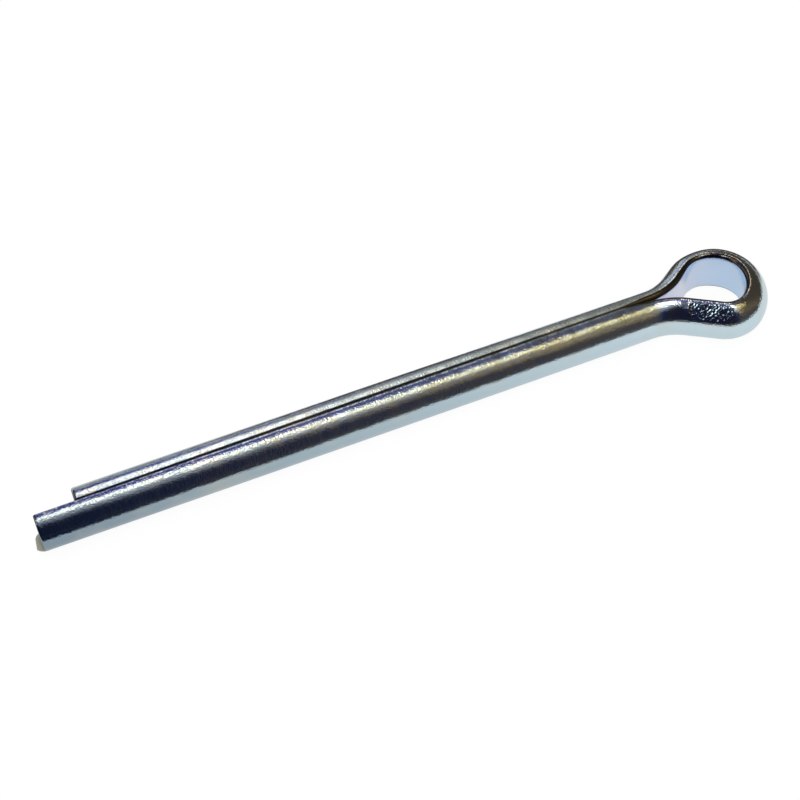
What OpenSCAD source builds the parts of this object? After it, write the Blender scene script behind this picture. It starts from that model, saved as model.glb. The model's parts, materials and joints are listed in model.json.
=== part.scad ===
// Cotter pin (split pin) of the long-prong pattern, bent from one length of half-round steel wire.
// The origin is on the shank's axis where the eye begins. +X runs from the tips towards the eye,
// and +Z along the hole of the eye. The pin lies flat, with the long prong in front, towards -Y.

/* [Wire] */
// Diameter of the round shank that the two prongs make together
shank_d = 4.45; // [4.2:0.05:4.7]
// Space between the flats of the two prongs
prong_gap = 0.04; // [0.02:0.01:0.1]
// Radius of the wire's long edges, where the flat meets the round side
edge_r = 0.3; // [0.2:0.05:0.45]
// How much thinner the wire gets at each bend, all round
bend_thin = 0.02; // [0.01:0.01:0.04]

/* [Prongs] */
// Length of the short prong, from the eye to the middle of its tip
short_prong = 57.5; // [30:0.1:80]
// How far the long prong reaches past the short one
prong_step = 4; // [2.5:0.1:8]
// Turn of the sheared tips, which are longer in front
tip_turn = 8; // [1:1:15]
// Lean of the sheared tips, which are longer at the top
tip_lean = 9; // [1:0.5:16]
// Rounding of the sheared tips' outer edge, as a bevel
tip_bevel = 0.3; // [0.1:0.05:0.4]
// How far the torn lip of the long tip reaches past the middle of that tip
lip_reach = 0.45; // [0.1:0.05:0.5]
// How far below the middle of the wire the torn lip starts
lip_drop = 1; // [0.7:0.1:1.4]
// Turn of the torn lip's end, which is longer at the wire's flat
lip_turn = 17; // [5:1:20]

/* [Eye] */
// Inside reach of the eye, from where it begins
eye_reach = 10.2; // [9.9:0.05:10.8]
// Sideways shift of the eye's far end, towards the short prong
eye_shift = 0.12; // [0:0.02:0.3]
// Inside radius of the front half's far end
front_end_r = 3.9; // [3.6:0.1:4.3]
// Turn of the front half's far end, in degrees
front_end_turn = 53; // [45:1:56]
// Inside radius of the front shoulder
front_side_r = 1.8; // [1.6:0.05:2.1]
// Slope of the front flank against the shank
front_slope = 34.5; // [32:0.5:37]
// Inside radius of the back half, far end and shoulder in one
back_side_r = 2.75; // [2.6:0.05:2.9]
// Slope of the back flank against the shank
back_slope = 36; // [33:0.5:38]
// Bend radius where the flanks meet the shank, on the wire's flat
neck_r = 6.6; // [5.5:0.1:7.5]

/* [Tool mark] */
// Length of the flat that the bending tool pressed into the front flank
mark_len = 3.7; // [2.5:0.1:4.5]
// Depth of that flat
mark_depth = 0.15; // [0.05:0.01:0.25]
// How far that flat reaches past the flank, round the shoulder
mark_over = 0.6; // [0:0.1:1]
// Tilt of that flat, upwards from the front
mark_tilt = 48; // [40:1:60]

/* [Hidden] */
$fn = 96;
shank_r = shank_d / 2;
half_gap = prong_gap / 2;
long_prong = short_prong + prong_step;
// Middle of the rounding on each long edge
edge_x = edge_r + half_gap;
edge_z = sqrt(pow(shank_r - edge_r, 2) - pow(edge_x, 2));
// Where the rounding runs into the round side, seen from the shank's axis
edge_a = atan2(edge_z, edge_x);
// How far a thinner run of wire reaches into the thicker one beside it
lap = 0.05;
// How far each prong is drawn past the middle of its tip, before it is sheared
spare = 1.5;
// Length and reach of what is cut away, well past the wire
cut = shank_d;

// The point at distance r from c, in direction a
function polar(c, r, a) = [c[0] + r * cos(a), c[1] + r * sin(a)];

// Half of the eye, drawn with its outside towards +Y: [centre of the far end, centre of the
// shoulder, lower end of the flank, length of the flank, centre of the bend at the shank]
function half_eye(shift, end_r, turn, side_r, slope) =
    let (end = [eye_reach - end_r, shift],
         side = polar(end, end_r - side_r, turn),
         top = polar(side, side_r, 90 + slope),
         flank = (top[1] - half_gap - neck_r * (1 - cos(slope))) / sin(slope),
         low = polar(top, flank, 180 + slope))
    [end, side, low, flank, polar(low, neck_r, 90 + slope)];

// The wire's section, drawn thin by a given amount all round: the flat is on the left, and the
// round side is part of the shank's own circle
module section(thin) {
    far = 2 * shank_r;
    translate([-half_gap, 0]) {
        intersection() {
            circle(r = shank_r - thin);
            polygon([[edge_x, -edge_z], polar([0, 0], far, -edge_a), [far, -far], [far, far],
                polar([0, 0], far, edge_a), [edge_x, edge_z]]);
        }
        translate([half_gap + thin, -edge_z]) square([edge_r - thin, 2 * edge_z]);
        for (s = [-1, 1]) translate([edge_x, s * edge_z]) circle(r = edge_r - thin);
    }
}

// A straight run of wire from the point p in direction a, with its round side to the left
module run(p, a, len) {
    translate([p[0], p[1], 0]) rotate([0, 0, a]) rotate([90, 0, 90])
        linear_extrude(height = len) section(0);
}

// A bend about c that starts in direction a, with its flat at the radius r. It is thinner than
// what it joins, and laps into that at both ends. side is 1 with the flat inside, -1 outside
module bend(c, r, a, sweep, side, thin) {
    turn = lap / r * 180 / PI;
    translate([c[0], c[1], 0]) rotate([0, 0, a - turn])
        rotate_extrude(angle = sweep + 2 * turn)
            translate([r, 0]) mirror([side < 0 ? 1 : 0, 0]) section(thin);
}

// One prong with its half of the eye, drawn with its outside towards +Y. tear is 1 where its tip
// keeps a torn lip
module half_pin(eye, side_r, turn, slope, prong, shear, tear) {
    bend(eye[1], side_r, turn, 90 + slope - turn, 1, bend_thin);
    run(eye[2], slope, eye[3]);
    bend(eye[4], neck_r, -90, slope, -1, bend_thin);
    difference() {
        run([-prong - spare, half_gap], 0, prong + spare + eye[4][0]);
        translate([-prong, 0, 0]) difference() {
            tip_cut(shear);
            if (tear == 1) torn_lip();
        }
    }
}

// What shearing takes off the end of a prong whose tip has its middle at the origin. The outer
// edge of what is left there narrows at twice the bevel for each millimetre past that middle
module tip_cut(shear) {
    rotate([0, -tip_lean, shear]) translate([-cut, -cut, -cut]) cube([cut, 2 * cut, 2 * cut]);
    rotate([0, -90, 0]) difference() {
        cylinder(h = 2, r = cut);
        translate([0, 0, -1])
            cylinder(h = 3, r1 = shank_r + lap + 2 * tip_bevel, r2 = shank_r + lap - 4 * tip_bevel);
    }
}

// The block that shearing leaves at the bottom of the long tip
module torn_lip() {
    translate([-lip_reach, 0, -lip_drop]) rotate([0, 0, -lip_turn])
        translate([0, -cut, -cut]) cube([2 * cut, 2 * cut, cut]);
}

module cotter_pin() {
    front = half_eye(-eye_shift, front_end_r, front_end_turn, front_side_r, front_slope);
    back = half_eye(eye_shift, back_side_r, 0, back_side_r, back_slope);
    color([0.66, 0.68, 0.7]) {
        mirror([0, 1, 0]) difference() {
            union() {
                half_pin(front, front_side_r, front_end_turn, front_slope, long_prong, tip_turn, 1);
                bend(front[0], front_end_r, 0, front_end_turn, 1, 2 * bend_thin);
            }
            // The tool mark
            translate([front[2][0], front[2][1], 0]) rotate([0, 0, front_slope])
                translate([front[3] + mark_over - mark_len, -half_gap, 0]) rotate([mark_tilt, 0, 0])
                    translate([0, shank_r - mark_depth, -cut]) cube([mark_len, cut, 2 * cut]);
        }
        half_pin(back, back_side_r, 0, back_slope, short_prong, -tip_turn, 0);
    }
}

cotter_pin();
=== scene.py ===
import json
import math

import bmesh
import bpy
from mathutils import Matrix, Vector

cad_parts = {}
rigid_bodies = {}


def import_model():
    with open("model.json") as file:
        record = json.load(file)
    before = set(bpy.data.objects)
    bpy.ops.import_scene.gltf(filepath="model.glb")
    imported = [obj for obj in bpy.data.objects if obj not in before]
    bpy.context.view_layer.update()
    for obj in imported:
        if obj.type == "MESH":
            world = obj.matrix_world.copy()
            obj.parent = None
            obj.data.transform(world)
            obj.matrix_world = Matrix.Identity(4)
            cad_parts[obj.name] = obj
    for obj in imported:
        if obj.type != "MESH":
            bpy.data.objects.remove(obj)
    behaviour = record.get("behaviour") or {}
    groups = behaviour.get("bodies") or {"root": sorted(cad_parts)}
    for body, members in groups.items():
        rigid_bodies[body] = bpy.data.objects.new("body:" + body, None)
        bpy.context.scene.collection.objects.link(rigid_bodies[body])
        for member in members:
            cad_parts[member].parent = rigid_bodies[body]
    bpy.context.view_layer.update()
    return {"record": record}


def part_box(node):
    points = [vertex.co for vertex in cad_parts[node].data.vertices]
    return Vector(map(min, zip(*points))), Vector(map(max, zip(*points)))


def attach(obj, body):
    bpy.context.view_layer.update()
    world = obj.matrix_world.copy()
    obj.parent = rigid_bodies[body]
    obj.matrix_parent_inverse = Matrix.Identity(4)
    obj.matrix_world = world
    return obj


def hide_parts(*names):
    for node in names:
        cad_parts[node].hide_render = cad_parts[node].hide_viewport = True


bl_info = {
    "name": "Cotter Pin",
    "version": (1, 0, 0),
    "blender": (4, 5, 0),
    "location": "View3D > Sidebar > Cotter Pin",
    "description": "Bends a cotter pin from half-round wire and sets it in a small studio",
    "category": "Object",
}

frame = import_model()
LOW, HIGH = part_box("cotter_pin")
SHANK = next(m for m in frame["record"]["mounts"] if m["name"] == "shank")["dims"]
MM = 0.001
# Places closer together than this count as one
NEAR = 1e-6
# The most that two faces may turn against each other and still be shaded as one
SMOOTH_TURN = math.radians(30)

# The slots of the pin's materials, in order
ZINC, SHEARED, BLUE_FILM_AND_REFLECTION, DARK_FILM_AND_SHADE, TORN, PRESSED = range(6)


# Sizes and finishes that a user would change

def length(name, text, value, low=0.0):
    """A length property, given in millimetres."""
    return bpy.props.FloatProperty(
        name=name, description=text, default=value * MM, min=low * MM, unit="LENGTH", precision=5)


def angle(name, text, value):
    """An angle property, given in degrees."""
    return bpy.props.FloatProperty(
        name=name, description=text, default=math.radians(value), subtype="ANGLE")


def share(name, text, value, high=1.0):
    """A plain number property between zero and a limit."""
    return bpy.props.FloatProperty(name=name, description=text, default=value, min=0.0, max=high)


def colour(name, text, value):
    """A colour property."""
    return bpy.props.FloatVectorProperty(
        name=name, description=text, default=value, min=0.0, max=10.0, subtype="COLOR", size=3)


class CotterPinWire(bpy.types.PropertyGroup):
    """The wire's section and its two prongs"""
    shank_radius: length("Shank radius", "Radius of the round shank", SHANK["r_mm"], 1)
    edge_radius: length("Edge radius", "Rounding of the wire's long edges on the prongs", 0.09)
    eye_edge_radius: length("Edge radius in the eye", "The same rounding, where the wire is bent", 0.5)
    half_gap: length("Half gap", "From the shank's axis to each prong's flat, at the eye", 0.02)
    bow: length("Bow", "How far each prong bows outwards halfway along", 0.08)
    front_swell: length("Front swell", "How much thicker the long prong is at its tip", 0.12)
    back_swell: length("Back swell", "How much thicker the short prong is there", 0.06)
    twist: angle("Twist", "How far the prongs turn at the long tip, their tops forwards", 10)
    long_prong: length("Long prong", "Length of the long prong, to the middle of its tip", 61.5, 20)
    prong_step: length("Prong step", "How far the long prong reaches past the short one", 4.0, 1)
    tip_turn: angle("Tip turn", "Turn of the sheared tips, which are longer in front", 8)
    tip_lean: angle("Tip lean", "Lean of the sheared tips, which are longer at the top", 9)
    rim_radius: length("Rim radius", "Rounding round the sheared tips", 0.22)
    lip_drop: length("Lip drop", "How far below the middle the torn lip of the long tip starts", 1.0)
    lip_reach: length("Lip reach", "How far the torn lip stands out from the sheared tip", 0.6)
    lip_turn: angle("Lip turn", "Turn of the lip's end, which is longer at the wire's flat", 17)


class CotterPinEye(bpy.types.PropertyGroup):
    """The bends of the eye, measured on the wire's flat"""
    reach: length("Reach", "Inside reach of the eye", 10.2, 5)
    shift: length("Shift", "Sideways shift of the far end, towards the short prong", 0.12)
    front_end_radius: length("Front end radius", "Inside radius of the front half's far end", 3.9)
    front_end_turn: angle("Front end turn", "Turn of the front half's far end", 53)
    front_side_radius: length("Front shoulder radius", "Inside radius of the front shoulder", 1.8)
    front_slope: angle("Front slope", "Slope of the front flank", 34.5)
    back_side_radius: length("Back radius", "Inside radius of the back half's far end", 2.75)
    back_slope: angle("Back slope", "Slope of the back flank", 36)
    neck_radius: length("Neck radius", "Bend radius where the flanks meet the shank", 6.6)
    thinning: length("Thinning", "How much thinner the wire is at the back shoulder, all round", 0.12)
    mark_length: length("Mark length", "Length of the tool mark on the front flank", 3.7)
    mark_over: length("Mark overrun", "How far the mark reaches round the shoulder", 0.6)
    mark_depth: length("Mark depth", "Depth of the tool mark", 0.16)
    mark_tilt: angle("Mark tilt", "Tilt of the tool mark, upwards from the front", 48)


class CotterPinFinish(bpy.types.PropertyGroup):
    """The zinc plating"""
    # The tips' colour is the plating's own bluer tint and partly painted shade: it is darker than the
    # eye's, so the pin darkens towards its tips
    tip_tint_and_shade: colour("Colour at the tips", "Plating at the prongs' tips", (0.26, 0.34, 0.4))
    eye_colour: colour("Colour at the eye", "Plating at the eye", (0.62, 0.77, 0.84))
    stain_colour: colour("Stain", "Faint warm stain of the plating film", (0.66, 0.62, 0.50))
    # Inside the eye the film is the plating's bluer tint and partly a painted reflection: it is lighter
    # than elsewhere, most at the flanks, as if lit by the floor seen through the eye
    inside_film_and_reflection: colour("Colour inside the eye", "Bluer film inside the eye", (0.6, 0.77, 0.98))
    flank_film_and_reflection: colour("Colour inside the flanks", "Film inside the eye's flanks", (0.85, 0.83, 0.97))
    # The long edges face the gap between the prongs and the inside of the eye: their darker film is
    # partly painted shade, darkest along the prongs
    edge_film_and_shade: colour("Colour of the edges", "Darker film on the long edges", (0.04, 0.05, 0.12))
    eye_edge_film_and_shade: colour("Colour of the eye's edges", "The same at the eye", (0.17, 0.17, 0.15))
    roughness: share("Roughness", "How blurred the plating's reflections are", 0.13)
    grain_size: length("Grain size", "Size of the plating's orange-peel grain", 0.14)
    grain_height: length("Grain height", "Height of that grain", 0.016)
    mark_coarseness: share("Mark coarseness", "How much coarser the tool mark's grain is", 2.4, 10.0)
    wave_height: length("Wave height", "Height of the slow waviness under the grain", 0.05)
    sheared_colour: colour("Sheared steel", "Bare steel of the sheared tips", (0.23, 0.2, 0.13))
    torn_colour: colour("Torn steel", "Bare steel of the torn lip", (0.55, 0.57, 0.47))


class CotterPinStudio(bpy.types.PropertyGroup):
    """The floor, the lights and the camera"""
    floor_size: length("Floor size", "Side of the square floor", 4000)
    lamp_power: bpy.props.FloatProperty(
        name="Lamp power", description="Power of the soft lamp", default=1.6, min=0.0, unit="POWER")
    azimuth: angle("Azimuth", "Where the camera stands round the pin", -26.37)
    elevation: angle("Elevation", "How high the camera stands", 45.75)
    roll: angle("Roll", "How the camera leans", 0.47)
    distance: length("Distance", "From the camera to the pin", 302.9, 50)
    lens: bpy.props.FloatProperty(
        name="Lens", description="Focal length", default=148.46, min=10.0, unit="CAMERA")


# Small tools for modelling and for materials

def edit_new_mesh(name):
    """Adds an empty mesh object at the origin and enters its edit mode."""
    bpy.ops.object.select_all(action="DESELECT")
    bpy.ops.mesh.primitive_plane_add(size=MM, location=(0, 0, 0))
    piece = bpy.context.active_object
    piece.name = name
    piece.data.name = name
    bpy.ops.object.mode_set(mode="EDIT")
    bpy.ops.mesh.select_all(action="SELECT")
    bpy.ops.mesh.delete(type="VERT")
    return piece


def pick(kind, test):
    """Selects the active mesh's VERT, EDGE or FACE parts that pass the test, and nothing else."""
    bpy.ops.mesh.select_mode(type=kind)
    bpy.ops.mesh.select_all(action="DESELECT")
    data = bpy.context.active_object.data
    mesh = bmesh.from_edit_mesh(data)
    parts = {"VERT": mesh.verts, "EDGE": mesh.edges, "FACE": mesh.faces}[kind]
    chosen = [part for part in parts if test(part)]
    if not chosen:
        raise RuntimeError("nothing was picked on " + data.name)
    for part in chosen:
        part.select_set(True)
    mesh.select_flush_mode()
    bmesh.update_edit_mesh(data)


def give_material(test, slot):
    """Gives the faces that pass the test the material in another slot."""
    pick("FACE", test)
    data = bpy.context.active_object.data
    mesh = bmesh.from_edit_mesh(data)
    for face in mesh.faces:
        if face.select:
            face.material_index = slot
    bmesh.update_edit_mesh(data)


def middle(part):
    """The middle of an edge or a face."""
    return sum((v.co for v in part.verts), Vector()) / len(part.verts)


def extrude(dx, dy, dz=0.0, steps=1):
    """Extrudes the selection in equal steps."""
    for _ in range(steps):
        bpy.ops.mesh.extrude_region_move(TRANSFORM_OT_translate={
            "value": (dx / steps, dy / steps, dz / steps)})


def spin(centre, turn, steps, axis=(0, 0, 1)):
    """Spins the selection about a centre, anticlockwise round the axis."""
    bpy.ops.mesh.spin(steps=steps, angle=-turn, center=centre, axis=axis)


def smooth_step(low, high, value):
    """Zero below low, one above high, and smooth between them."""
    t = min(1.0, max(0.0, (value - low) / (high - low)))
    return t * t * (3 - 2 * t)


# The pin

# How many faces go round each rounded corner of the section, its round side and its flat
CORNER_STEPS = 6
ROUND_STEPS = 44
FLAT_STEPS = 10


def draw_section(x, side, off, edge):
    """Draws the wire's section at x as a closed loop. Its round side points to side (1 or -1)
    along Y, off is how far it stands out from the shank, and edge rounds its two corners."""
    wire = bpy.context.scene.cotter_pin_wire
    corner_y = edge + wire.half_gap
    corner_z = math.sqrt((wire.shank_radius - edge) ** 2 - corner_y ** 2)
    round_turn = math.atan2(corner_z, corner_y)
    corner_turn = side * (math.pi - round_turn)
    axis_y = side * off
    bpy.ops.mesh.select_mode(type="VERT")
    bpy.ops.mesh.select_all(action="DESELECT")
    bpy.ops.mesh.primitive_plane_add(
        size=MM, location=(x, axis_y + side * wire.half_gap, -corner_z))
    bpy.ops.mesh.merge(type="CENTER")
    spin((x, axis_y + side * corner_y, -corner_z), corner_turn, CORNER_STEPS, (1, 0, 0))
    spin((x, axis_y, 0), side * 2 * round_turn, ROUND_STEPS, (1, 0, 0))
    spin((x, axis_y + side * corner_y, corner_z), corner_turn, CORNER_STEPS, (1, 0, 0))
    extrude(0, 0, -2 * corner_z, FLAT_STEPS)
    bpy.ops.mesh.select_linked()
    bpy.ops.mesh.remove_doubles(threshold=NEAR)


def bowed_out(x):
    """How far a prong bows out from the shank at x."""
    wire = bpy.context.scene.cotter_pin_wire
    u = min(1.0, max(0.0, -x / wire.long_prong))
    return 4 * wire.bow * u * (1 - u)


def swollen(side, x):
    """How much thicker than the shank's half a prong is at x, as a factor."""
    wire = bpy.context.scene.cotter_pin_wire
    swell = wire.front_swell if side < 0 else wire.back_swell
    u = max(0.0, -x / wire.long_prong)
    return 1 + swell / wire.shank_radius * u * u


def turn_section(x, turn):
    """Turns the selected section about the shank's axis, its top forwards."""
    bpy.ops.transform.rotate(
        value=-turn, orient_axis="X", orient_type="GLOBAL", center_override=(x, 0, 0))


def thicken(x, factor):
    """Widens the selected section outwards from the shank's axis."""
    bpy.ops.transform.resize(value=(1, factor, 1), center_override=(x, 0, 0))


# Where the prongs end and the wire's edges start to get rounder, towards the eye
PRONG_ROOT = -3 * MM
# How many steps a prong takes, and how many cuts the join between it and the eye
PRONG_STEPS = 40
JOIN_CUTS = 6


def draw_prong(side, tip):
    """Extrudes one prong from beyond its tip at x = tip to its root, while its twist fades."""
    wire = bpy.context.scene.cotter_pin_wire
    start = tip - wire.shank_radius
    step = (PRONG_ROOT - start) / PRONG_STEPS
    draw_section(start, side, bowed_out(start), wire.edge_radius)
    thicken(start, swollen(side, start))
    turn_section(start, wire.twist * -start / wire.long_prong)
    for i in range(PRONG_STEPS):
        x = start + step * (i + 1)
        extrude(step, side * (bowed_out(x) - bowed_out(x - step)))
        thicken(x, swollen(side, x) / swollen(side, x - step))
        turn_section(x, -wire.twist * step / wire.long_prong)


def half_eye(shift, end_radius, end_turn, side_radius, slope):
    """Half of the eye, drawn with its outside towards +Y: the centres of its far end and its
    shoulder, the length of its flank, and the centre of the bend at the shank."""
    wire = bpy.context.scene.cotter_pin_wire
    eye = bpy.context.scene.cotter_pin_eye
    end = Vector((eye.reach - end_radius, shift, 0))
    side = end + (end_radius - side_radius) * Vector((math.cos(end_turn), math.sin(end_turn), 0))
    outwards = Vector((-math.sin(slope), math.cos(slope), 0))
    along = Vector((-math.cos(slope), -math.sin(slope), 0))
    top = side + side_radius * outwards
    drop = top.y - wire.half_gap - eye.neck_radius * (1 - math.cos(slope))
    flank = drop / math.sin(slope)
    neck = top + flank * along + eye.neck_radius * outwards
    return end, side, flank, neck


def front_half():
    """The front half of the eye, which joins the long prong."""
    eye = bpy.context.scene.cotter_pin_eye
    return half_eye(-eye.shift, eye.front_end_radius, eye.front_end_turn,
                    eye.front_side_radius, eye.front_slope)


def back_half():
    """The back half of the eye, which joins the short prong."""
    eye = bpy.context.scene.cotter_pin_eye
    return half_eye(eye.shift, eye.back_side_radius, 0, eye.back_side_radius, eye.back_slope)


def flip(point):
    """The same point on the front half of the pin."""
    return Vector((point.x, -point.y, point.z))


# How many steps each run of the eye takes, from the long prong's neck to the short one's
NECK_STEPS = 12
FRONT_FLANK_STEPS = 24
FRONT_SHOULDER_STEPS = 30
FRONT_END_STEPS = 20
BACK_SHOULDER_STEPS = 46
BACK_FLANK_STEPS = 8


def draw_eye():
    """Spins the wire round the eye, from the long prong's neck to the short prong's neck."""
    wire = bpy.context.scene.cotter_pin_wire
    eye = bpy.context.scene.cotter_pin_eye
    end, side, flank, neck = front_half()
    slope = eye.front_slope
    draw_section(neck.x, -1, 0, wire.eye_edge_radius)
    spin(flip(neck), -slope, NECK_STEPS)
    extrude(flank * math.cos(slope), -flank * math.sin(slope), 0, FRONT_FLANK_STEPS)
    spin(flip(side), math.pi / 2 + slope - eye.front_end_turn, FRONT_SHOULDER_STEPS)
    spin(flip(end), eye.front_end_turn, FRONT_END_STEPS)
    _, side, flank, neck = back_half()
    slope = eye.back_slope
    spin(side, math.pi / 2 + slope, BACK_SHOULDER_STEPS)
    extrude(-flank * math.cos(slope), -flank * math.sin(slope), 0, BACK_FLANK_STEPS)
    spin(neck, -slope, NECK_STEPS)


def join_prong(side):
    """Bridges one prong to the eye, while the wire's edges get rounder."""
    neck = front_half()[3] if side < 0 else back_half()[3]

    def at_an_end(edge):
        here = middle(edge)
        level = abs(edge.verts[0].co.x - edge.verts[1].co.x) < NEAR
        away = min(abs(here.x - PRONG_ROOT), abs(here.x - neck.x))
        return level and side * here.y > 0 and away < NEAR

    pick("EDGE", at_an_end)
    bpy.ops.mesh.bridge_edge_loops(number_cuts=JOIN_CUTS, interpolation="LINEAR")


def on_prong(place, side):
    """Whether a place near the tips belongs to the front prong (-1) or the back one (1)."""
    twist = bpy.context.scene.cotter_pin_wire.twist
    return side * (place.y + place.z * math.tan(twist)) > 0


def tip_facing():
    """The direction from a sheared tip into its prong."""
    wire = bpy.context.scene.cotter_pin_wire
    level = math.cos(wire.tip_lean)
    return Vector((level * math.cos(wire.tip_turn), -level * math.sin(wire.tip_turn),
                   math.sin(wire.tip_lean)))


# How much of a prong's end its shearing can touch
TIP_REACH = 8 * MM
# A short straight run before each rounded rim, so that the rim's shading stays off the prong
RIM_RUN = 0.05 * MM
RIM_STEPS = 5
# A sheared face has more corners than this, and faces the tip by at least this much
FACE_CORNERS = 12
FACE_LEVEL = 0.9
# The middles of the sheared faces and of the torn lip, in shank radii outwards and up
FACE_HEART = (0.45, 0)
LONG_FACE_HEART = (0.45, 0.3)
LIP_HEART = (0.4, -0.62)
# How far out each step of the torn lip goes, as a share of its reach, and its size
LIP_STEPS = ((0.3, 0.96), (0.3, 0.88), (0.2, 0.82), (0.12, 0.78), (0.08, 0.65))


def shear_tip(side, tip):
    """Shears one prong a rim's radius short of x = tip, and closes the cut."""
    wire = bpy.context.scene.cotter_pin_wire
    pick("VERT", lambda v: v.co.x < tip + TIP_REACH and on_prong(v.co, side))
    bpy.ops.mesh.bisect(
        plane_co=(tip + wire.rim_radius + RIM_RUN, 0, 0), plane_no=tip_facing(),
        clear_inner=True, use_fill=True)


def end_face(middle_x, test=None):
    """Selects the large sheared face near x = middle_x that passes the test."""
    pick("FACE", lambda f: len(f.verts) > FACE_CORNERS and abs(f.normal.x) > FACE_LEVEL
         and abs(middle(f).x - middle_x) < MM and (test is None or test(middle(f))))


def heart(x, side, place):
    """The middle of one prong's end at x, from its place outwards and up in shank radii."""
    radius = bpy.context.scene.cotter_pin_wire.shank_radius
    return Vector((x, side * place[0] * radius, place[1] * radius))


def narrow(centre, steps):
    """Extrudes the selected end outwards in steps of (distance, size), smaller about a centre."""
    for out, size in steps:
        extrude(-out, 0)
        bpy.ops.transform.resize(value=(1, size, size), center_override=centre)


def rounded_rim():
    """The steps that round a sheared tip's rim in a quarter circle."""
    wire = bpy.context.scene.cotter_pin_wire
    turns = [math.pi / 2 * i / RIM_STEPS for i in range(RIM_STEPS + 1)]
    sizes = [1 - (1 - math.cos(t)) * wire.rim_radius / wire.shank_radius for t in turns]
    outs = [math.sin(t) * wire.rim_radius for t in turns]
    return [(outs[i + 1] - outs[i], sizes[i + 1] / sizes[i]) for i in range(RIM_STEPS)]


def leave_lip():
    """Pulls the torn lip out of the lower part of the selected sheared face."""
    wire = bpy.context.scene.cotter_pin_wire
    reach = wire.lip_reach + wire.rim_radius
    narrow(heart(-wire.long_prong, -1, LIP_HEART), [(out * reach, size) for out, size in LIP_STEPS])
    bpy.ops.transform.rotate(
        value=-wire.lip_turn, orient_axis="Z", orient_type="GLOBAL",
        center_override=(-wire.long_prong - wire.lip_reach, 0, -wire.lip_drop))


def shear_tips():
    """Shears both tips, the long one with a torn lip."""
    wire = bpy.context.scene.cotter_pin_wire
    long = -wire.long_prong
    short = long + wire.prong_step
    shear_tip(1, short)
    shear_tip(-1, long)
    bpy.ops.mesh.select_all(action="SELECT")
    bpy.ops.mesh.normals_make_consistent(inside=False)
    end_face(short)
    extrude(-RIM_RUN, 0)
    narrow(heart(short, 1, FACE_HEART), rounded_rim())
    end_face(long)
    extrude(-RIM_RUN, 0)
    bpy.ops.mesh.bisect(plane_co=(0, 0, -wire.lip_drop), plane_no=(0, 0, 1))
    end_face(long, lambda here: here.z > -wire.lip_drop)
    narrow(heart(long, -1, LONG_FACE_HEART), rounded_rim())
    end_face(long, lambda here: here.z < -wire.lip_drop)
    leave_lip()


# The middle of the eye, and where its curve starts to turn the wire's flat towards that
EYE_HEART = 7.4 * MM
EYE_CURVE = 3 * MM
# Where the bluer film starts, which is lightened partly as a painted reflection
INSIDE_START = 1.5 * MM
# The faces of the long edges turn up or down by more than the first of these, and towards the
# flat by more than the second
EDGE_LEVEL = 0.3
EDGE_FACING = 0.05
# The faces inside the eye turn towards its middle by more than this
INSIDE_FACING = 0.2
# The sheared faces turn towards the tips by more than this
SHEARED_LEVEL = 0.75
# The torn steel goes up to just above the lip's top, as a share of how far down that is
TORN_TOP = 0.98


def towards_flat(place):
    """The direction from the wire's round side to its flat."""
    wire = bpy.context.scene.cotter_pin_wire
    if place.x > EYE_CURVE:
        return Vector((EYE_HEART - place.x, -place.y, 0)).normalized()
    turn = wire.twist * max(0, -place.x) / wire.long_prong
    side = math.copysign(1, place.y + place.z * math.tan(turn))
    return -side * Vector((0, math.cos(turn), math.sin(turn)))


def film_faces():
    """Gives the wire's long edges the darker film, which is partly painted shade between the prongs and
    round the eye, and the inside of the eye the bluer one, lightened partly as a painted reflection.
    """
    def facing_flat(face):
        return face.normal.dot(towards_flat(middle(face)))

    give_material(lambda f: abs(f.normal.z) > EDGE_LEVEL and facing_flat(f) > EDGE_FACING, DARK_FILM_AND_SHADE)
    give_material(lambda f: middle(f).x > INSIDE_START and abs(f.normal.z) <= EDGE_LEVEL
                  and facing_flat(f) > INSIDE_FACING, BLUE_FILM_AND_REFLECTION)


def bare_tips():
    """Leaves the sheared faces at both tips bare, and the torn lip too."""
    wire = bpy.context.scene.cotter_pin_wire
    long = -wire.long_prong
    short = long + wire.prong_step

    def on_lip(face):
        here = middle(face)
        past = tip_facing().dot(here - Vector((long + wire.rim_radius, 0, 0)))
        low = here.z < -TORN_TOP * wire.lip_drop
        return past < NEAR and low and here.x < long + wire.prong_step / 2

    give_material(lambda f: f.normal.x < -SHEARED_LEVEL and middle(f).x < short + MM, SHEARED)
    give_material(on_lip, TORN)


# How far past the tool mark its cuts reach: below its plane, before its start and past its end
MARK_BELOW = 0.3 * MM
MARK_BEFORE = 0.5 * MM
MARK_PAST = 0.8 * MM
# The width of the step at the mark's start, where the tool's edge stood, and the places just
# before and past the step's far side, in its widths
MARK_STEP = 0.04 * MM
BEFORE_SIDE = 0.75
PAST_SIDE = 1.25
# How much of the wire's roundness is left in the mark
MARK_LEFT = 0.12
# The mark's faces turn with it by more than the first of these, and those of the step at its
# start turn along it by more than the second
MARK_FACING = 0.98
STEP_FACING = 0.4


def tool_mark():
    """The tool mark: its start on the flank, its direction along that, its facing and a point
    on it."""
    wire = bpy.context.scene.cotter_pin_wire
    eye = bpy.context.scene.cotter_pin_eye
    side = front_half()[1]
    slope = eye.front_slope
    along = Vector((math.cos(slope), -math.sin(slope), 0))
    out = Vector((-math.sin(slope), -math.cos(slope), 0))
    top = flip(side) + eye.front_side_radius * out
    end = top + eye.mark_over * along
    start = end - eye.mark_length * along
    facing = math.cos(eye.mark_tilt) * out + math.sin(eye.mark_tilt) * Vector((0, 0, 1))
    point = start - wire.half_gap * out + (wire.shank_radius - eye.mark_depth) * facing
    return start, along, facing, point


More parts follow.
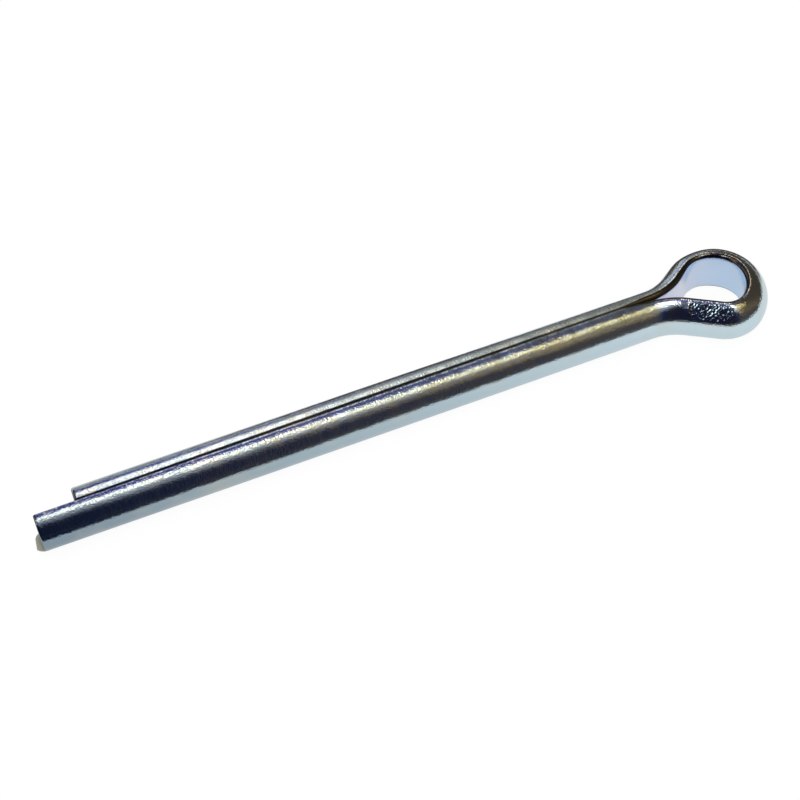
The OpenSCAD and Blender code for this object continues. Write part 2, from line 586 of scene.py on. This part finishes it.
def press_tool_mark():
    """Presses the flat that the bending tool left on the front flank."""
    length_along = bpy.context.scene.cotter_pin_eye.mark_length
    start, along, facing, point = tool_mark()

    def near_mark(face):
        here = middle(face)
        return facing.dot(here - point) > -MARK_BELOW \
            and -MARK_BEFORE < along.dot(here - start) < length_along + MARK_PAST

    def above(vert):
        return facing.dot(vert.co - point) > NEAR \
            and BEFORE_SIDE * MARK_STEP < along.dot(vert.co - start) < length_along + MARK_PAST / 2

    def past_step(face):
        return along.dot(middle(face) - start) > PAST_SIDE * MARK_STEP

    for place, normal in ((start, along), (start + MARK_STEP * along, along), (point, facing)):
        pick("FACE", near_mark)
        bpy.ops.mesh.bisect(plane_co=place, plane_no=normal)
    pick("VERT", above)
    bpy.ops.transform.resize(
        value=(1, 1, MARK_LEFT), center_override=point, orient_type="GLOBAL",
        orient_matrix_type="GLOBAL",
        orient_matrix=Matrix((along, facing.cross(along), facing)).transposed(),
        constraint_axis=(False, False, True))
    give_material(lambda f: near_mark(f) and past_step(f) and f.normal.dot(facing) > MARK_FACING,
                  PRESSED)
    # The step where the tool's edge stood gets the darker film, as painted shade in its crease
    give_material(lambda f: near_mark(f) and not past_step(f) and f.normal.dot(along) > STEP_FACING,
                  DARK_FILM_AND_SHADE)


# Where round the back shoulder the wire gets thinner and thicker again, in degrees
THINNER = (55, 100)
THICKER = (120, 165)
# Where along X the plating's colour changes, its darkening towards the tips partly painted shade, and
# where the bluer film's does inside the eye, its lightness at the flanks partly a painted reflection
WHOLE_REACH = (LOW.x, 0)
INSIDE_REACH = (2 * MM, 9.5 * MM)
# How metallic the bare steel looks, where it is sheared and where it is torn
SHEARED_METALLIC = 1.0
TORN_METALLIC = 0.2


def thin_shoulder(pin):
    """Makes the wire a little thinner round the back shoulder, where the bend stretched it."""
    eye = bpy.context.scene.cotter_pin_eye
    centre = back_half()[0]
    group = pin.vertex_groups.new(name="back_shoulder")
    for vert in pin.data.vertices:
        arm = vert.co - centre
        turned = math.degrees(math.atan2(arm.y, arm.x))
        weight = smooth_step(*THINNER, turned) * (1 - smooth_step(*THICKER, turned))
        if vert.co.x > 0 and weight > 0:
            group.add([vert.index], weight, "REPLACE")
    move = pin.modifiers.new("back_shoulder", "DISPLACE")
    move.vertex_group = group.name
    move.mid_level = 0
    move.strength = -eye.thinning
    bpy.ops.object.modifier_apply(modifier=move.name)


def plate(pin):
    """Gives the pin its materials, in the order of their slots."""
    finish = bpy.context.scene.cotter_pin_finish
    grain = grain_group()
    tint = tint_group()
    for made in (
        plating("zinc_plating", grain, tint, WHOLE_REACH, finish.tip_tint_and_shade, finish.eye_colour),
        bare_steel("sheared_steel", grain, finish.sheared_colour, SHEARED_METALLIC),
        # The bluer film inside the eye, lightened partly as a painted reflection
        plating("blue_zinc_painted_reflection", grain, tint, INSIDE_REACH, finish.flank_film_and_reflection,
                finish.inside_film_and_reflection),
        # The darker film, partly painted shade on the long edges and on the mark's step
        plating("dark_zinc_painted_shade", grain, tint, WHOLE_REACH, finish.edge_film_and_shade,
                finish.eye_edge_film_and_shade),
        bare_steel("torn_steel", grain, finish.torn_colour, TORN_METALLIC),
        plating("pressed_zinc_plating", grain, tint, WHOLE_REACH, finish.tip_tint_and_shade,
                finish.eye_colour, finish.mark_coarseness),
    ):
        pin.data.materials.append(made)


class CotterPinBend(bpy.types.Operator):
    """Bend the wire into a cotter pin, shear its tips and plate it"""
    bl_idname = "cotter_pin.bend"
    bl_label = "Bend the cotter pin"

    def execute(self, context):
        wire = context.scene.cotter_pin_wire
        pin = edit_new_mesh("wire")
        draw_prong(-1, -wire.long_prong)
        draw_prong(1, -wire.long_prong + wire.prong_step)
        draw_eye()
        join_prong(-1)
        join_prong(1)
        shear_tips()
        bpy.ops.mesh.select_all(action="SELECT")
        bpy.ops.mesh.remove_doubles(threshold=NEAR)
        bpy.ops.mesh.normals_make_consistent(inside=False)
        film_faces()
        bare_tips()
        press_tool_mark()
        bpy.ops.object.mode_set(mode="OBJECT")
        thin_shoulder(pin)
        bpy.ops.object.shade_smooth_by_angle(angle=SMOOTH_TURN)
        plate(pin)
        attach(pin, "root")
        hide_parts("cotter_pin")
        return {"FINISHED"}


# Materials

# How often the grain's waviness, the roughness and the stain change, per metre
WAVE_SCALE = 420.0
MOTTLE_SCALE = 1100.0
STAIN_SCALE = 260.0
# How much finer detail each noise has: the grain, the waviness, and the roughness and stain
PEEL_DETAIL = 0.6
WAVE_DETAIL = 1.0
CLOUD_DETAIL = 3.0
# The levels of its noise at which the stain starts and is full, and how much it then covers
STAIN_START = 0.5
STAIN_FULL = 0.75
STAIN_COVER = 0.3
# How far the plating's roughness goes up and down
ROUGHNESS_SPREAD = 0.05
# The bare steel's roughness and grain
STEEL_ROUGHNESS = 0.45
STEEL_GRAIN_SIZE = 0.2 * MM
STEEL_GRAIN_HEIGHT = 0.02 * MM
STEEL_WAVE_HEIGHT = 0.02 * MM


def feed(tree, entry, value):
    """Links an input to the socket that is given, or sets it to a number or a colour."""
    if isinstance(value, bpy.types.NodeSocket):
        tree.links.new(value, entry)
    else:
        entry.default_value = value


def add(tree, kind, place=(0, 0), **values):
    """Adds a node, sets its properties and feeds its inputs by name."""
    node = tree.nodes.new("ShaderNode" + kind)
    node.location = place
    for name, value in values.items():
        if hasattr(node, name):
            setattr(node, name, value)
        else:
            feed(tree, node.inputs[name.replace("_", " ")], value)
    return node


def add_math(tree, operation, place, *values):
    """Adds a Math node that is fed with values in their order. Returns its output."""
    node = add(tree, "Math", place, operation=operation)
    for entry, value in zip(node.inputs, values):
        feed(tree, entry, value)
    return node.outputs["Value"]


def mix_colours(tree, place, factor, first, second):
    """Mixes two colours. Returns the output."""
    node = add(tree, "Mix", place, data_type="RGBA", Factor=factor)
    tree.links.new(first, node.inputs[6])
    tree.links.new(second, node.inputs[7])
    return node.outputs[2]


def ramp(tree, place, factor, stops, smooth=False):
    """A colour ramp over (position, colour) stops. Returns its output."""
    node = add(tree, "ValToRGB", place, Fac=factor)
    band = node.color_ramp
    band.interpolation = "EASE" if smooth else "LINEAR"
    band.elements.remove(band.elements[1])
    band.elements[0].position = stops[0][0]
    band.elements[0].color = (*stops[0][1], 1)
    for position, value in stops[1:]:
        band.elements.new(position).color = (*value, 1)
    return node.outputs["Color"]


def new_group(name, inputs, outputs):
    """A node group with sockets given as (name, kind) pairs. Returns it with the sockets that it
    is given and those of its result."""
    group = bpy.data.node_groups.new(name, "ShaderNodeTree")
    for way, sockets in (("INPUT", inputs), ("OUTPUT", outputs)):
        for label, kind in sockets:
            group.interface.new_socket(label, in_out=way, socket_type="NodeSocket" + kind)
    given = group.nodes.new("NodeGroupInput")
    given.location = (-900, 0)
    result = group.nodes.new("NodeGroupOutput")
    result.location = (900, 0)
    return group, given.outputs, result.inputs


def use_group(tree, group, place, **values):
    """Adds a node group to a tree and feeds its inputs by name."""
    node = tree.nodes.new("ShaderNodeGroup")
    node.node_tree = group
    node.location = place
    for name, value in values.items():
        feed(tree, node.inputs[name.replace("_", " ")], value)
    return node


def blank_material(name):
    """A material with an empty node tree. Returns it with the tree and the tree's last input."""
    made = bpy.data.materials.new(name)
    made.use_nodes = True
    made.node_tree.nodes.clear()
    out = add(made.node_tree, "OutputMaterial", (900, 0))
    return made, made.node_tree, out.inputs["Surface"]


def grain_group():
    """Fine orange peel over a slow waviness, as a height in metres and a mottling mask."""
    group, given, result = new_group(
        "plating_grain",
        (("Vector", "Vector"), ("Grain Size", "Float"), ("Grain Height", "Float"),
         ("Wave Height", "Float")),
        (("Height", "Float"), ("Mottle", "Float")))
    place = given["Vector"]
    scale = add_math(group, "DIVIDE", (-600, 0), 1.0, given["Grain Size"])
    fine = add(group, "TexNoise", (-400, 100), Vector=place, Scale=scale, Detail=PEEL_DETAIL)
    wave = add(group, "TexNoise", (-400, -200), Vector=place, Scale=WAVE_SCALE, Detail=WAVE_DETAIL)
    mottle = add(group, "TexNoise", (-400, -500), Vector=place, Scale=MOTTLE_SCALE,
                 Detail=CLOUD_DETAIL)
    peel = add_math(group, "MULTIPLY", (-200, 100), fine.outputs["Fac"], given["Grain Height"])
    swell = add_math(group, "MULTIPLY", (-200, -200), wave.outputs["Fac"], given["Wave Height"])
    feed(group, result["Height"], add_math(group, "ADD", (0, 0), peel, swell))
    feed(group, result["Mottle"], mottle.outputs["Fac"])
    return group


def tint_group():
    """The plating's colour, which changes from the tips to the eye, with a faint warm stain. In the
    plain plating the darkening towards the tips is partly painted shade.
    """
    group, given, result = new_group(
        "plating_tint_and_shade",
        (("Vector", "Vector"), ("From", "Float"), ("To", "Float"), ("Tips", "Color"),
         ("Eye", "Color"), ("Stain", "Color")),
        (("Color", "Color"),))
    place = given["Vector"]
    parts = add(group, "SeparateXYZ", (-600, 0), Vector=place)
    run = add(group, "MapRange", (-400, 0), Value=parts.outputs["X"], From_Min=given["From"],
              From_Max=given["To"])
    film = mix_colours(group, (-200, 0), run.outputs["Result"], given["Tips"], given["Eye"])
    cloud = add(group, "TexNoise", (-400, -300), Vector=place, Scale=STAIN_SCALE,
                Detail=CLOUD_DETAIL)
    patch = add(group, "MapRange", (-200, -300), Value=cloud.outputs["Fac"], From_Min=STAIN_START,
                From_Max=STAIN_FULL, To_Max=STAIN_COVER)
    stained = mix_colours(group, (0, 0), patch.outputs["Result"], film, given["Stain"])
    feed(group, result["Color"], stained)
    return group


def grained_metal(name, grain_tree, size, height, wave, **values):
    """A metal with a grain. Returns it with its tree, its shader, its mottling mask and the
    object's own coordinates."""
    made, tree, surface = blank_material(name)
    metal = add(tree, "BsdfPrincipled", (600, 0), **values)
    place = add(tree, "TexCoord", (-800, 0)).outputs["Object"]
    grain = use_group(tree, grain_tree, (-300, -200), Vector=place, Grain_Size=size,
                      Grain_Height=height, Wave_Height=wave)
    bump = add(tree, "Bump", (300, -200), Strength=1.0, Distance=1.0,
               Height=grain.outputs["Height"])
    feed(tree, metal.inputs["Normal"], bump.outputs["Normal"])
    feed(tree, surface, metal.outputs["BSDF"])
    return made, tree, metal, grain.outputs["Mottle"], place


def plating(name, grain_tree, tint_tree, reach, tips, eye, coarser=1.0):
    """Bright zinc with an orange-peel grain, whose colour changes between two places along X."""
    finish = bpy.context.scene.cotter_pin_finish
    made, tree, metal, mottle, place = grained_metal(
        name, grain_tree, finish.grain_size * math.sqrt(coarser), finish.grain_height * coarser,
        finish.wave_height, Metallic=1.0)
    tint = use_group(tree, tint_tree, (-300, 200), Vector=place, From=reach[0], To=reach[1],
                     Tips=(*tips, 1), Eye=(*eye, 1), Stain=(*finish.stain_colour, 1))
    rough = add(tree, "MapRange", (200, 0), Value=mottle,
                To_Min=finish.roughness - ROUGHNESS_SPREAD,
                To_Max=finish.roughness + ROUGHNESS_SPREAD)
    feed(tree, metal.inputs["Base Color"], tint.outputs["Color"])
    feed(tree, metal.inputs["Roughness"], rough.outputs["Result"])
    return made


def bare_steel(name, grain_tree, tone, metallic):
    """Bare steel, duller and rougher than the plating."""
    return grained_metal(
        name, grain_tree, STEEL_GRAIN_SIZE, STEEL_GRAIN_HEIGHT, STEEL_WAVE_HEIGHT,
        Metallic=metallic, Roughness=STEEL_ROUGHNESS, Base_Color=(*tone, 1))[0]


# The studio

# The floor's own grey and its glow, and the glow's share for the camera and in reflections
FLOOR_GREY = 0.85
FLOOR_GLOW = 1.05
FLOOR_SEEN = 0.9
FLOOR_MIRRORED = 0.5
# Where the lamp hangs and how wide it is, in metres
LAMP_PLACE = (-0.2, -0.3, 0.8)
LAMP_SIZE = 0.5
# How strongly the white world lights the scene
WORLD_LIGHT = 0.6
# The middle of the prongs, where the camera aims
CAMERA_AIM = Vector((-25.69, 0.123, 0.032)) * MM
# The camera's sensor in millimetres, and how near to it things are cut off, in metres
SENSOR_WIDTH = 36
NEAR_CLIP = 0.01
# The tent's radius, as a share of the floor's side, and how many faces go round it
TENT_SHARE = 0.46
TENT_SEGMENTS = 64
# The turn at which the ramp of a strip's centre is at one, in degrees
HALF_TURN = 180.0
# The ends of what the tent's strips cover: how far along X, for each metre away from the pin
TENT_START = -0.8
TENT_END = 0.8
STRIPS = (
    # name; centre in degrees, half width and softness; colours, each from tips to eye
    ("ridge", ((0.20, 126), (0.42, 126)), 44, 12,
     ((-0.5, (0.5, 0.38, 0.25)), (-0.2, (0.1, 0.08, 0.07)), (0.05, (0.02, 0.02, 0.05)),
      (0.20, (0.12, 0.12, 0.7)), (0.26, (0.13, 0.13, 0.4)),
      (0.33, (0.11, 0.13, 0.16)), (0.40, (0.14, 0.12, 0.12)), (0.43, (0.07, 0.05, 0.04)))),
    ("front", ((0.20, 72), (0.26, 67), (0.32, 58), (0.42, 52)), 6, 18,
     ((0.0, (0.01, 0.01, 0.03)), (0.20, (0.85, 0.85, 0.95)), (0.26, (0.3, 0.33, 0.42)),
      (0.30, (0.22, 0.19, 0.23)), (0.33, (0.28, 0.2, 0.19)), (0.37, (0.5, 0.36, 0.18)),
      (0.42, (0.5, 0.31, 0.11)), (0.5, (0.15, 0.1, 0.06)))),
    ("overhead", ((-0.5, 75), (0.10, 80), (0.20, 84), (0.26, 78), (0.32, 72), (0.37, 75),
                  (0.42, 77)), 5, 4,
     ((-0.7, (0.1, 0.1, 0.1)), (-0.5, (4.0, 4.4, 4.8)), (-0.3, (0.1, 0.1, 0.15)),
      (0.05, (0.1, 0.1, 0.2)), (0.20, (8.0, 6.7, 5.5)), (0.25, (2.9, 2.5, 2.0)),
      (0.28, (0.62, 0.58, 0.47)), (0.30, (0.85, 0.73, 0.52)), (0.33, (2.9, 2.3, 1.3)),
      (0.37, (3.3, 2.4, 0.9)), (0.388, (0.7, 0.5, 0.19)), (0.40, (0.52, 0.37, 0.15)),
      (0.46, (0.6, 0.4, 0.15)), (0.6, (1.3, 0.9, 0.35)), (0.72, (0.1, 0.07, 0.04)))),
    ("back", ((0.20, 128), (0.23, 131), (0.28, 144), (0.32, 153), (0.36, 153), (0.39, 140),
              (0.42, 137)), 15, 5,
     ((0.10, (0.1, 0.1, 0.2)), (0.20, (5.5, 4.6, 3.8)), (0.28, (0.9, 0.84, 0.76)),
      (0.32, (0.55, 0.49, 0.41)), (0.37, (0.7, 0.62, 0.47)), (0.40, (0.62, 0.53, 0.45)),
      (0.415, (0.12, 0.09, 0.07)), (0.5, (0.06, 0.045, 0.03)))),
    ("horizon", ((0.23, 174), (0.28, 180), (0.42, 182)), 6, 5,
     ((0.10, (0.04, 0.04, 0.04)), (0.22, (1.0, 0.94, 0.8)), (0.27, (0.3, 0.3, 0.34)),
      (0.32, (0.1, 0.1, 0.14)), (0.38, (0.1, 0.1, 0.12)), (0.42, (0.3, 0.27, 0.24)))),
)
# The tent's dark cloth, from tips to eye
TENT_DARK = (
    (-0.3, (0.012, 0.012, 0.03)), (0.05, (0.02, 0.018, 0.025)), (0.21, (0.003, 0.02, 0.07)),
    (0.27, (0.04, 0.04, 0.08)), (0.33, (0.09, 0.07, 0.065)), (0.42, (0.08, 0.065, 0.06)))
# The tent's dark again, on the sheets of painted shade on the floor: shares of the pin's length from
# its tips, and the stops above
SHEET_SHADE_STOPS = ((0.0, 2), (0.5, 4), (0.9, 5))
# The oval dark sheets on the floor, which paint shade into the floor's reflection: the middle of the
# edge nearest the pin, half width and depth, all in millimetres
SHADE_SHEETS = (
    ("front_shade_sheet", (-56, -9), 340, -1000),
    ("back_shade_sheet", (-22, 8), 30, 60),
    ("eye_shade_sheet", (22, 6), 60, 80),
)
# How far above the floor they lie, and how many corners they have
SHEET_LIFT = 0.01 * MM
SHEET_CORNERS = 256


def floor_material():
    """A pale floor that the camera sees as white, with the pin's soft shadow."""
    made, tree, surface = blank_material("pale_floor")
    matt = add(tree, "BsdfDiffuse", (200, 0), Color=(FLOOR_GREY, FLOOR_GREY, FLOOR_GREY, 1))
    glow = add(tree, "Emission", (200, -150), Strength=FLOOR_GLOW)
    ray = add(tree, "LightPath", (-600, 200)).outputs
    seen = add_math(tree, "MULTIPLY", (-400, 200), ray["Is Camera Ray"], FLOOR_SEEN)
    mirrored = add_math(tree, "MULTIPLY", (-400, 0), ray["Is Glossy Ray"], FLOOR_MIRRORED)
    mix = add(tree, "MixShader", (500, 0), Fac=add_math(tree, "MAXIMUM", (-200, 200), seen, mirrored))
    feed(tree, mix.inputs[1], matt.outputs["BSDF"])
    feed(tree, mix.inputs[2], glow.outputs["Emission"])
    feed(tree, surface, mix.outputs["Shader"])
    return made


def ground():
    """The height on which the pin lies."""
    return min(LOW.z, -bpy.context.scene.cotter_pin_wire.shank_radius)


def lay_floor(studio):
    """Lays the floor under the pin."""
    bpy.ops.mesh.primitive_plane_add(size=studio.floor_size, location=(0, 0, ground()))
    floor = bpy.context.active_object
    floor.name = "floor"
    floor.data.materials.append(floor_material())


def strip_group():
    """The mask of a soft-edged strip of light that runs the tent's length."""
    group, given, result = new_group(
        "soft_strip",
        [(name, "Float") for name in ("Turn", "Centre", "Half Width", "Softness")],
        (("Mask", "Float"),))
    apart = add_math(group, "SUBTRACT", (200, 0), given["Turn"], given["Centre"])
    size = add_math(group, "ABSOLUTE", (400, 0), apart)
    wide = add_math(group, "ADD", (400, -200), given["Half Width"], given["Softness"])
    mask = add(group, "MapRange", (600, 0), interpolation_type="SMOOTHERSTEP", Value=size,
               From_Min=given["Half Width"], From_Max=wide, To_Min=1.0, To_Max=0.0)
    feed(group, result["Mask"], mask.outputs["Result"])
    return group


def along_tent(stops):
    """Moves stops from the tent's own length to a ramp's zero to one."""
    return [((x - TENT_START) / (TENT_END - TENT_START), value) for x, value in stops]


def tent_place(tree):
    """Where a place on the tent lies: its turn over the pin from the front, in degrees, and how
    far along the tent it is, from zero to one."""
    place = add(tree, "TexCoord", (-1400, 0)).outputs["Object"]
    parts = add(tree, "SeparateXYZ", (-1200, 0), Vector=place).outputs
    front = add_math(tree, "MULTIPLY", (-1000, -100), parts["Y"], -1.0)
    turn = add_math(tree, "ARCTAN2", (-800, 0), parts["Z"], front)
    across = add(tree, "CombineXYZ", (-1000, -300), Y=parts["Y"], Z=parts["Z"])
    away = add(tree, "VectorMath", (-800, -300), operation="LENGTH",
               Vector=across.outputs["Vector"])
    along = add_math(tree, "DIVIDE", (-600, -300), parts["X"], away.outputs["Value"])
    run = add(tree, "MapRange", (-400, -300), Value=along, From_Min=TENT_START, From_Max=TENT_END)
    return add_math(tree, "DEGREES", (-600, 0), turn), run.outputs["Result"]


def only_glow(made, surface, tone):
    """Makes a material glow in a colour, and light nothing by itself."""
    glow = add(made.node_tree, "Emission", (700, 0), Color=tone)
    feed(made.node_tree, surface, glow.outputs["Emission"])
    made.cycles.emission_sampling = "NONE"
    return made


def tent_material():
    """The tent's dark cloth and its soft strips of light."""
    made, tree, surface = blank_material("tent")
    turn, run = tent_place(tree)
    group = strip_group()
    total = ramp(tree, (-100, -300), run, along_tent(TENT_DARK))
    for i, (name, centres, half, soft, colours) in enumerate(STRIPS):
        level = -600 - 400 * i
        shares = along_tent([(x, [degrees / HALF_TURN] * 3) for x, degrees in centres])
        centre = ramp(tree, (-100, level), run, shares, True)
        centre = add_math(tree, "MULTIPLY", (150, level), centre, HALF_TURN)
        strip = use_group(tree, group, (350, level), Turn=turn, Centre=centre, Half_Width=half,
                          Softness=soft)
        strip.label = name
        tone = ramp(tree, (150, level - 200), run, along_tent(colours))
        total = mix_colours(tree, (500, level), strip.outputs["Mask"], total, tone)
    return only_glow(made, surface, total)


def only_reflected(piece):
    """Shows a piece of the stage in reflections alone."""
    for ray in ("camera", "diffuse", "transmission", "volume_scatter", "shadow"):
        setattr(piece, "visible_" + ray, False)


def raise_tent(studio):
    """Raises the dark tent over the pin, which only reflections show."""
    bpy.ops.object.select_all(action="DESELECT")
    bpy.ops.mesh.primitive_uv_sphere_add(
        segments=TENT_SEGMENTS, ring_count=TENT_SEGMENTS // 2, radius=TENT_SHARE * studio.floor_size,
        location=(0, 0, ground()))
    tent = bpy.context.active_object
    tent.name = "tent"
    bpy.ops.object.mode_set(mode="EDIT")
    bpy.ops.mesh.select_all(action="SELECT")
    bpy.ops.mesh.bisect(plane_co=(0, 0, ground()), plane_no=(0, 0, 1), clear_inner=True)
    bpy.ops.object.mode_set(mode="OBJECT")
    tent.data.materials.append(tent_material())
    only_reflected(tent)


def shade_sheet_material():
    """Dark like the tent's cloth, for the sheets of painted shade that lie on the floor."""
    made, tree, surface = blank_material("painted_shade_sheet")
    place = add(tree, "TexCoord", (-600, 0)).outputs["Object"]
    parts = add(tree, "SeparateXYZ", (-400, 0), Vector=place)
    run = add(tree, "MapRange", (-200, 0), Value=parts.outputs["X"], From_Min=LOW.x,
              From_Max=HIGH.x)
    stops = [(x, TENT_DARK[stop][1]) for x, stop in SHEET_SHADE_STOPS]
    return only_glow(made, surface, ramp(tree, (0, 0), run.outputs["Result"], stops))


def lay_shade_sheets():
    """Lays oval dark sheets on the floor round the pin, which only reflections show: painted shade in
    the floor's reflection.
    """
    dark = shade_sheet_material()
    # Each sheet is painted shade, seen only in the pin's reflection of the floor
    for name, (x, y), width, depth in SHADE_SHEETS:
        bpy.ops.object.select_all(action="DESELECT")
        bpy.ops.mesh.primitive_circle_add(
            vertices=SHEET_CORNERS, radius=width * MM, fill_type="NGON", location=(0, 0, 0))
        sheet = bpy.context.active_object
        sheet.name = name
        bpy.ops.object.mode_set(mode="EDIT")
        bpy.ops.mesh.select_all(action="SELECT")
        bpy.ops.transform.resize(value=(1, abs(depth) / width, 1))
        bpy.ops.transform.translate(value=(x * MM, (y + depth) * MM, ground() + SHEET_LIFT))
        bpy.ops.object.mode_set(mode="OBJECT")
        sheet.data.materials.append(dark)
        only_reflected(sheet)


def hang_lamp(studio):
    """Hangs the soft lamp."""
    bpy.ops.object.light_add(type="AREA", location=LAMP_PLACE)
    lamp = bpy.context.active_object
    lamp.name = "soft_lamp"
    lamp.data.size = LAMP_SIZE
    lamp.data.energy = studio.lamp_power
    lamp.rotation_euler = lamp.location.to_track_quat("Z", "Y").to_euler()
    lamp.visible_glossy = False


def whiten_world():
    """Makes the world white, and its light on the scene softer than it looks."""
    world = bpy.data.worlds.new("studio")
    bpy.context.scene.world = world
    world.use_nodes = True
    tree = world.node_tree
    back = tree.nodes["Background"]
    back.inputs["Color"].default_value = (1, 1, 1, 1)
    ray = add(tree, "LightPath", (-900, 0)).outputs
    seen = add_math(tree, "MAXIMUM", (-700, 0), ray["Is Camera Ray"], ray["Is Glossy Ray"])
    shown = add_math(tree, "MAXIMUM", (-500, 0), seen, ray["Is Transmission Ray"])
    level = add(tree, "MapRange", (-300, 0), Value=shown, To_Min=WORLD_LIGHT)
    feed(tree, back.inputs["Strength"], level.outputs["Result"])


def set_camera(studio):
    """Stands the camera at its azimuth and elevation, aimed at the middle of the prongs."""
    turn = Matrix.Rotation(studio.azimuth, 4, "Z") \
        @ Matrix.Rotation(math.pi / 2 - studio.elevation, 4, "X") \
        @ Matrix.Rotation(studio.roll, 4, "Z")
    bpy.ops.object.camera_add()
    camera = bpy.context.active_object
    camera.name = "camera"
    camera.matrix_world = Matrix.Translation(CAMERA_AIM) @ turn \
        @ Matrix.Translation((0, 0, studio.distance))
    camera.data.sensor_width = SENSOR_WIDTH
    camera.data.lens = studio.lens
    camera.data.clip_start = NEAR_CLIP
    bpy.context.scene.camera = camera


class CotterPinStage(bpy.types.Operator):
    """Lay the pale floor and set the tent, the lamp and the camera"""
    bl_idname = "cotter_pin.stage"
    bl_label = "Set the studio"

    def execute(self, context):
        studio = context.scene.cotter_pin_studio
        bpy.ops.object.select_all(action="DESELECT")
        lay_floor(studio)
        raise_tent(studio)
        lay_shade_sheets()
        hang_lamp(studio)
        whiten_world()
        set_camera(studio)
        context.scene.view_settings.view_transform = "Standard"
        return {"FINISHED"}


class CotterPinPanel(bpy.types.Panel):
    """Lists the pin's sizes, its finish and the studio"""
    bl_label = "Cotter Pin"
    bl_idname = "VIEW3D_PT_cotter_pin"
    bl_space_type = "VIEW_3D"
    bl_region_type = "UI"
    bl_category = "Cotter Pin"

    def draw(self, context):
        for title, group, operator in SECTIONS:
            box = self.layout.box()
            box.label(text=title)
            values = getattr(context.scene, group)
            for name in type(values).__annotations__:
                box.prop(values, name)
            if operator:
                box.operator(operator)


GROUPS = {
    "cotter_pin_wire": CotterPinWire,
    "cotter_pin_eye": CotterPinEye,
    "cotter_pin_finish": CotterPinFinish,
    "cotter_pin_studio": CotterPinStudio,
}
SECTIONS = (
    ("Wire", "cotter_pin_wire", ""),
    ("Eye", "cotter_pin_eye", ""),
    ("Finish", "cotter_pin_finish", CotterPinBend.bl_idname),
    ("Studio", "cotter_pin_studio", CotterPinStage.bl_idname),
)
CLASSES = (*GROUPS.values(), CotterPinBend, CotterPinStage, CotterPinPanel)


def register():
    for made in CLASSES:
        bpy.utils.register_class(made)
    for name, made in GROUPS.items():
        setattr(bpy.types.Scene, name, bpy.props.PointerProperty(type=made))


def unregister():
    for name in GROUPS:
        delattr(bpy.types.Scene, name)
    for made in reversed(CLASSES):
        bpy.utils.unregister_class(made)


def main():
    register()
    bpy.ops.cotter_pin.stage()
    bpy.ops.cotter_pin.bend()


if __name__ == "__main__":
    main()
